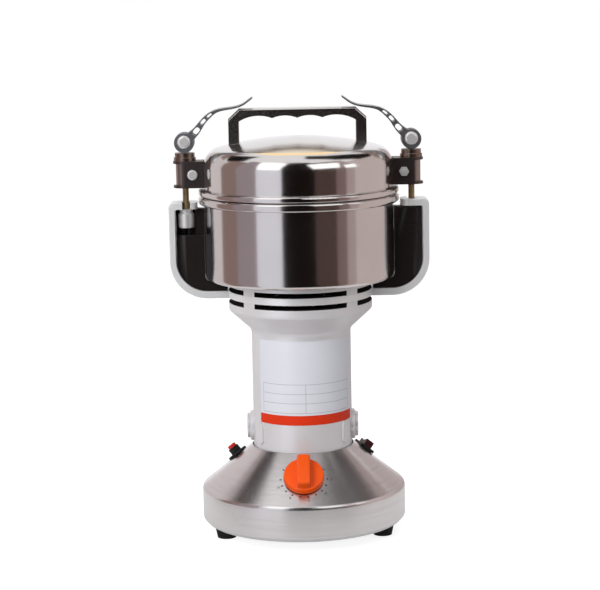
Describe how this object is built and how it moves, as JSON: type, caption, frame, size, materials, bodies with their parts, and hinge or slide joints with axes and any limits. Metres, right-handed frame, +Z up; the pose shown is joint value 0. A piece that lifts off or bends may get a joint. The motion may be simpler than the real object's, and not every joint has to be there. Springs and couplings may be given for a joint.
{
  "type": "electric grinding mill",
  "caption": "Upright electric grinding mill with a spun steel base, timer knob, cast motor housing, steel grinding bowl and a lid held down by side cam levers.",
  "frame": {"origin": "middle of the plane that the feet stand on, on the axis of the motor", "axes": "+Z is up along the motor shaft, -Y is the front with the timer knob, +X is the side of the switch"},
  "size_m": [0.1668, 0.1346, 0.2841],
  "materials": {
    "spun_steel": "brushed round the axis",
    "plain_steel": "plain bright",
    "cutter_steel": "ground",
    "chrome": "polished",
    "silver_paint": "satin silver paint on a casting",
    "bright_aluminium": "polished",
    "cast_aluminium": "as cast",
    "lever_grey": "satin",
    "dark_metal": "dark burnished",
    "bronze": "brown burnished",
    "brass": "plain",
    "black_gloss": "moulded gloss",
    "black_matte": "moulded matte",
    "orange_plastic": "moulded satin",
    "red_plastic": "moulded gloss",
    "dark_red_plastic": "moulded gloss",
    "black_rubber": "matte",
    "pale_rubber": "silicone",
    "copper_wire": "varnished copper",
    "lamination": "stacked plates",
    "carbon": "pressed carbon"
  },
  "bodies": {
    "stand": {"base_shell": "spun_steel", "base_plate": "plain_steel", "feet": "black_rubber", "foot_screws": "plain_steel", "foot_nuts": "plain_steel", "motor_pillars": "plain_steel", "motor_screws": "plain_steel", "timer_body": "black_matte", "timer_nut": "plain_steel", "reset_body": "black_matte", "reset_nut": "black_matte", "switch_housing": "black_matte", "cord_gland": "black_rubber", "motor_housing": "silver_paint", "end_bell": "cast_aluminium", "lower_bearing": "plain_steel", "stator_core": "lamination", "field_coils": "copper_wire", "brush_holders": "black_matte", "carbon_brushes": "carbon", "brush_springs": "plain_steel", "brush_caps": "silver_paint", "bowl_seat": "silver_paint", "upper_bearing": "plain_steel", "shaft_seal": "black_rubber", "bowl": "spun_steel", "bowl_screws": "plain_steel", "yoke": "bright_aluminium", "grip_left": "black_gloss", "grip_right": "black_gloss", "grip_screws": "plain_steel"},
    "rotor": {"motor_shaft": "plain_steel", "armature_core": "lamination", "armature_winding": "copper_wire", "commutator": "copper_wire", "cooling_fan": "black_matte", "lower_blade": "cutter_steel", "blade_spacer": "cutter_steel", "upper_blade": "cutter_steel", "blade_nut": "cutter_steel"},
    "lid": {"lid_shell": "spun_steel", "lid_liner": "plain_steel", "lid_gasket": "pale_rubber", "lid_handle": "chrome", "handle_screws": "plain_steel", "lug_left": "dark_metal", "lug_right": "dark_metal", "lug_blocks": "cast_aluminium", "lug_screws": "plain_steel", "clamp_rods": "brass", "clamp_nuts": "chrome", "clamp_collars": "bronze", "lever_pins": "chrome"},
    "left_lever": {"lever_left": "lever_grey"},
    "right_lever": {"lever_right": "lever_grey"},
    "knob": {"timer_knob": "orange_plastic", "timer_shaft": "plain_steel"},
    "button": {"reset_button": "red_plastic"},
    "rocker": {"switch_rocker": "dark_red_plastic"}
  },
  "joints": [
    {"name": "rotor_spin", "type": "hinge", "parent": "stand", "child": "rotor", "pos_m": [0, 0, 0.17], "axis": [0, 0, 1], "continuous": true},
    {"name": "lid_turn", "type": "hinge", "parent": "stand", "child": "lid", "pos_m": [0, 0, 0.222], "axis": [0, 0, 1], "range_deg": [0, 18]},
    {"name": "lever_left_flip", "type": "hinge", "parent": "lid", "child": "left_lever", "pos_m": [-0.0726, 0, 0.25635], "axis": [0, -1, 0], "range_deg": [0, 160]},
    {"name": "lever_right_flip", "type": "hinge", "parent": "lid", "child": "right_lever", "pos_m": [0.0726, 0, 0.25635], "axis": [0, 1, 0], "range_deg": [0, 160]},
    {"name": "knob_turn", "type": "hinge", "parent": "stand", "child": "knob", "pos_m": [0, -0.048, 0.04554], "axis": [0, 0.6329, -0.7743], "range_deg": [0, 300]},
    {"name": "button_press", "type": "slide", "parent": "stand", "child": "button", "axis": [0.6166, -0.1424, -0.7743], "range_m": [0, 0.002], "stiffness_N_per_m": 300},
    {"name": "rocker_tilt", "type": "hinge", "parent": "stand", "child": "rocker", "pos_m": [0.03997, 0.01222, 0.05061], "axis": [0.7404, 0.2264, -0.6329], "range_deg": [0, 18]}
  ]
}
